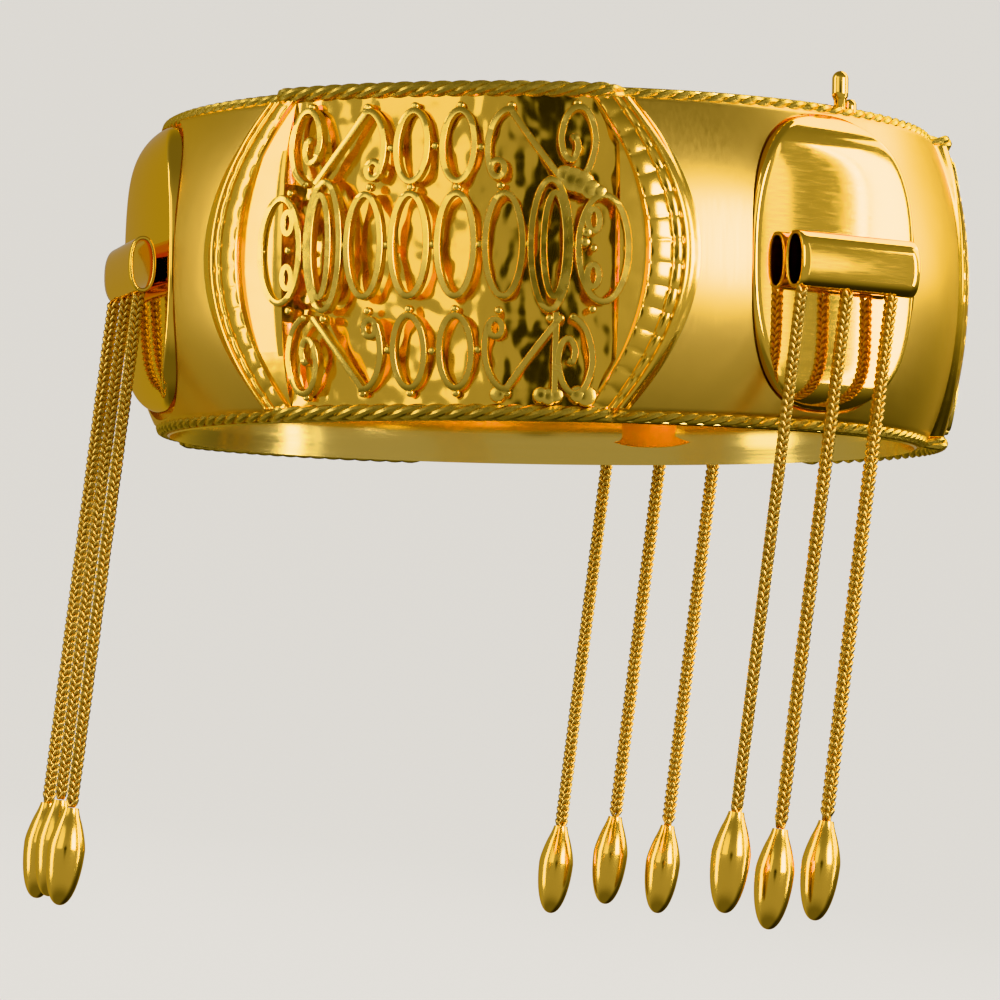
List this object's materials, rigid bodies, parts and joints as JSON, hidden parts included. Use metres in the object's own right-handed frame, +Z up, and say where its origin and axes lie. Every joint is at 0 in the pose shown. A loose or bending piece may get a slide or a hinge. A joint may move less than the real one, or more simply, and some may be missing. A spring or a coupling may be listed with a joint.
{
  "type": "bangle",
  "caption": "Wide gold bangle with openwork windows, fluted collars, oval plates and plumb chain tassels ending in drop beads.",
  "frame": {"origin": "centre of the wrist hollow", "axes": "+Z up against gravity, along which the tassels hang plumb; -Y the front, midway along an openwork window; the band's own axis leans 6.3 degrees from +Z, with its +X side high"},
  "size_m": [0.0682, 0.0673, 0.0692],
  "materials": {
    "satin_gold": "high-carat gold alloy, brushed to a fine satin round the band",
    "polished_gold": "high-carat gold alloy, mirror polished",
    "wire_gold": "drawn and twisted gold wire, bright, softened by soldering",
    "chain_gold": "fine woven gold chain, bright on the high links"
  },
  "bodies": {
    "root": {"band": "satin_gold", "rope_wire_top": "wire_gold", "rope_wire_bottom": "wire_gold", "clasp_pin": "polished_gold", "openwork_panel_1": "wire_gold", "collar_1_left": "polished_gold", "collar_1_right": "polished_gold", "openwork_panel_2": "wire_gold", "collar_2_left": "polished_gold", "collar_2_right": "polished_gold", "openwork_panel_3": "wire_gold", "collar_3_left": "polished_gold", "collar_3_right": "polished_gold", "oval_plate_1": "polished_gold", "bar_1": "polished_gold", "chain_1_1": "chain_gold", "drop_bead_1_1": "polished_gold", "chain_1_2": "chain_gold", "drop_bead_1_2": "polished_gold", "chain_1_3": "chain_gold", "drop_bead_1_3": "polished_gold", "oval_plate_2": "polished_gold", "bar_2": "polished_gold", "chain_2_1": "chain_gold", "drop_bead_2_1": "polished_gold", "chain_2_2": "chain_gold", "drop_bead_2_2": "polished_gold", "chain_2_3": "chain_gold", "drop_bead_2_3": "polished_gold", "oval_plate_3": "polished_gold", "bar_3": "polished_gold", "chain_3_1": "chain_gold", "drop_bead_3_1": "polished_gold", "chain_3_2": "chain_gold", "drop_bead_3_2": "polished_gold", "chain_3_3": "chain_gold", "drop_bead_3_3": "polished_gold"}
  },
  "joints": []
}
